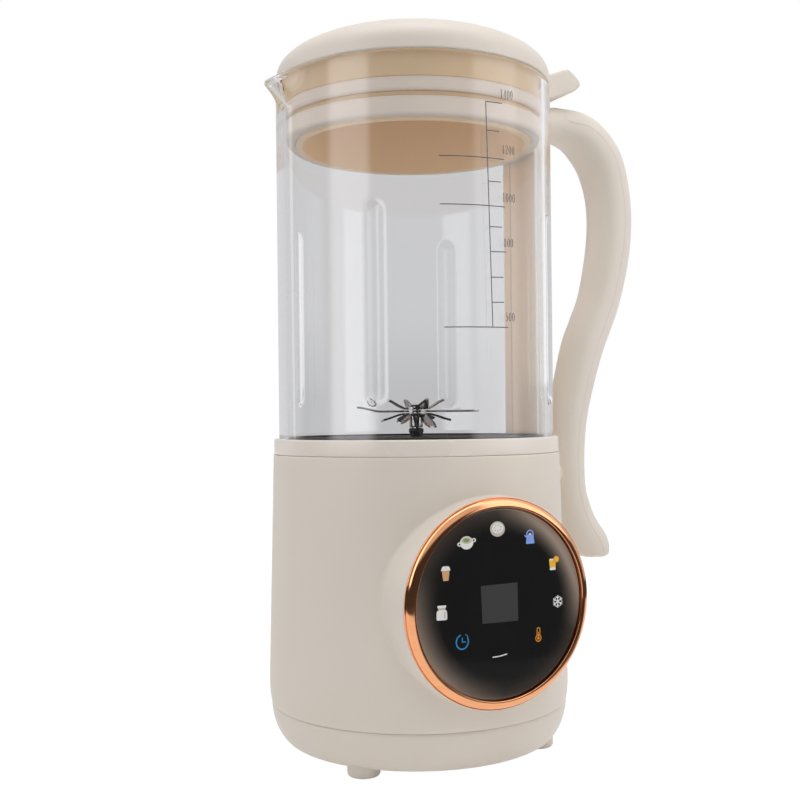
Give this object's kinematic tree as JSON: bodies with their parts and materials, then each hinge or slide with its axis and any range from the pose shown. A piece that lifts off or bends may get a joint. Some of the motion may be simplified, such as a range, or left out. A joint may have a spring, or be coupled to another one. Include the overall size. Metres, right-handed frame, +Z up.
{
  "type": "soy milk maker",
  "caption": "Soy milk maker: glass cup with a pouring lip on a heated motor base, lift-off domed lid, S-shaped handle, bladed knife and a round touch panel.",
  "frame": {"origin": "middle of the footprint's box, on the surface that the feet stand on", "axes": "+Z up along the knife's shaft; -Y is the side of the control panel; +X is the side of the handle, -X that of the pouring lip"},
  "size_m": [0.1859, 0.1379, 0.3105],
  "materials": {
    "cream_plastic": "matte cream-beige moulded plastic",
    "collar_plastic": "satin cream-beige plastic, a little lighter",
    "plug_plastic": "warm tan plastic",
    "clear_glass": "clear borosilicate glass with polished edges",
    "panel_glass": "glossy black glass, slightly domed",
    "display_glass": "dark grey display window",
    "copper_plating": "polished rose-copper anodising",
    "silicone": "translucent whitish silicone",
    "dark_rubber": "black rubber",
    "ferrite": "dark sintered ferrite",
    "knife_steel": "polished stainless steel",
    "plate_steel": "dark stainless steel",
    "zinc_steel": "zinc-plated steel",
    "copper_wire": "enamelled copper",
    "bronze": "sintered bronze",
    "carbon": "pressed carbon",
    "circuit_board": "green circuit board",
    "black_plastic": "black moulded plastic"
  },
  "bodies": {
    "machine": {"jar_glass": "clear_glass", "jar_gasket": "silicone", "jar_collar": "collar_plastic", "heating_plate": "plate_steel", "heating_ring": "zinc_steel", "shaft_bush": "bronze", "temperature_probe": "zinc_steel", "overheat_switch": "black_plastic", "base_shell": "cream_plastic", "trim_ring": "copper_plating", "control_glass": "panel_glass", "touch_board": "circuit_board", "display_module": "display_glass", "inlet_housing": "black_plastic", "left_pin": "zinc_steel", "right_pin": "zinc_steel", "earth_pin": "zinc_steel", "bottom_cover": "cream_plastic", "front_left_foot": "cream_plastic", "rear_left_foot": "cream_plastic", "front_right_foot": "cream_plastic", "rear_right_foot": "cream_plastic", "motor_chassis": "black_plastic", "motor_bracket": "zinc_steel", "upper_bearing": "zinc_steel", "motor_cradle": "zinc_steel", "lower_bearing": "zinc_steel", "stator_core": "zinc_steel", "upper_field_coil": "copper_wire", "lower_field_coil": "copper_wire", "left_brush": "carbon", "right_brush": "carbon", "left_brush_holder": "black_plastic", "right_brush_holder": "black_plastic", "power_board": "circuit_board", "capacitor": "black_plastic", "relay": "black_plastic", "handle_strip": "cream_plastic", "handle_frame": "cream_plastic", "handle_cover": "cream_plastic", "handle_boss": "cream_plastic", "lid_switch": "circuit_board", "shaft_seal": "dark_rubber"},
    "lid": {"lid_cover": "cream_plastic", "lid_plug": "plug_plastic", "upper_lid_seal": "silicone", "lower_lid_seal": "silicone", "lid_magnet": "ferrite"},
    "rotor": {"knife_shaft": "knife_steel", "knife_spacer": "knife_steel", "falling_blade": "knife_steel", "long_blade": "knife_steel", "rising_blade": "knife_steel", "knife_nut": "knife_steel", "armature": "zinc_steel", "commutator": "copper_wire", "cooling_fan": "black_plastic"}
  },
  "joints": [
    {"name": "lid_lift", "type": "slide", "parent": "machine", "child": "lid", "axis": [0, 0, 1], "range_m": [0, 0.08]},
    {"name": "knife_spin", "type": "hinge", "parent": "machine", "child": "rotor", "pos_m": [-0.02406, 0.0033, 0.14], "axis": [0, 0, 1], "continuous": true}
  ]
}
